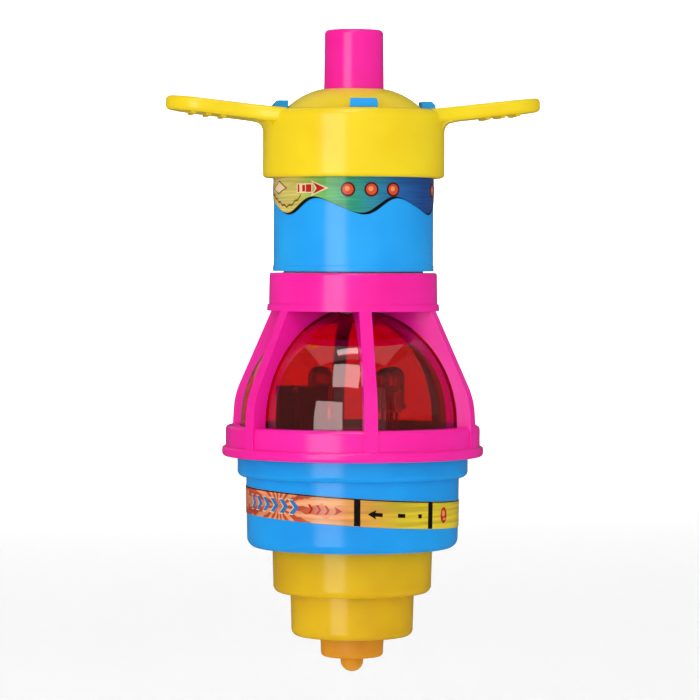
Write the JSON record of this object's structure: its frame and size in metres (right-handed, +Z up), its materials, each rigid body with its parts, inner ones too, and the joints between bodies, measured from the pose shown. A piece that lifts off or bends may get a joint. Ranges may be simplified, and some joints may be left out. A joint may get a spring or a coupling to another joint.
{
  "type": "light up spinning top",
  "caption": "Hand-held wind-up launcher with a winged cap and push button, holding a ribbed light-up top that drops off and spins on its tip.",
  "frame": {"origin": "on the vertical axis of the toy, at the bottom of the spinning tip", "axes": "+Z up along the common axis from the tip to the button; X across the two wings; -Y towards the front, where one rib of the cage stands"},
  "size_m": [0.0754, 0.0524, 0.1286],
  "materials": {
    "yellow_abs": "glossy injection-moulded ABS",
    "magenta_abs": "glossy injection-moulded ABS",
    "barrel_blue_abs": "glossy injection-moulded ABS",
    "base_blue_abs": "glossy injection-moulded ABS",
    "cone_yellow_abs": "semi-gloss injection-moulded ABS",
    "amber_nylon": "satin nylon",
    "red_clear_plastic": "clear red polystyrene",
    "printed_label": "printed vinyl film",
    "board_green": "solder mask on fibreglass",
    "black_resin": "potting resin",
    "led_red_epoxy": "tinted clear epoxy",
    "led_green_epoxy": "tinted clear epoxy",
    "led_blue_epoxy": "tinted clear epoxy",
    "tinned_steel": "tin plate",
    "dark_plastic": "satin polypropylene",
    "spring_brass": "spring brass",
    "cell_steel": "nickel-plated steel",
    "zinc_steel": "zinc-plated steel",
    "white_acetal": "natural acetal",
    "spring_steel": "oiled spring steel",
    "grey_abs": "satin ABS"
  },
  "bodies": {
    "launcher": {"winged_cap": "yellow_abs", "barrel": "barrel_blue_abs", "barrel_label": "printed_label", "mainspring": "spring_steel", "spring_cover": "grey_abs", "ratchet_cover": "grey_abs", "cover_screws": "zinc_steel", "pawl_pin": "zinc_steel", "pawl_spring": "spring_steel", "button_spring": "spring_steel"},
    "button": {"push_button": "magenta_abs"},
    "pawl": {"release_pawl": "white_acetal"},
    "hub": {"drive_hub": "white_acetal", "ratchet_wheel": "white_acetal", "hub_screw": "zinc_steel"},
    "gyro": {"cage": "magenta_abs", "dome": "red_clear_plastic", "base_shell": "base_blue_abs", "base_label": "printed_label", "stepped_cone": "cone_yellow_abs", "spin_tip": "amber_nylon", "circuit_board": "board_green", "chip_blob": "black_resin", "led_red": "led_red_epoxy", "led_green": "led_green_epoxy", "led_blue": "led_blue_epoxy", "led_leads": "tinned_steel", "switch_housing": "dark_plastic", "battery_holder": "dark_plastic", "cell_1": "cell_steel", "cell_2": "cell_steel", "cell_3": "cell_steel", "contact_minus": "tinned_steel", "contact_plus": "tinned_steel", "board_screws": "zinc_steel", "cone_screws": "zinc_steel"},
    "switch": {"switch_arm": "spring_brass"}
  },
  "joints": [
    {"name": "spin", "type": "hinge", "parent": "launcher", "child": "hub", "pos_m": [0, 0, 0.09], "axis": [0, 0, 1], "continuous": true},
    {"name": "release", "type": "slide", "parent": "hub", "child": "gyro", "axis": [0, 0, -1], "range_m": [0, 0.03]},
    {"name": "button", "type": "slide", "parent": "launcher", "child": "button", "axis": [0, 0, -1], "range_m": [0, 0.004], "stiffness_N_per_m": 300, "springref_m": -0.002, "deforming": ["button_spring"]},
    {"name": "pawl", "type": "hinge", "parent": "launcher", "child": "pawl", "pos_m": [0.00971, 0.00705, 0.0932], "axis": [0, 0, 1], "range_deg": [0, 14], "deforming": ["pawl_spring"]},
    {"name": "switch", "type": "hinge", "parent": "gyro", "child": "switch", "pos_m": [-0.01048, -0.00681, 0.0492], "axis": [0.5446, -0.8387, 0], "range_deg": [0, 12], "stiffness_Nm_per_rad": 0.002}
  ],
  "couplings": [
    {"joint": "pawl", "follows": "button", "rad_per_m": 61.087}
  ]
}
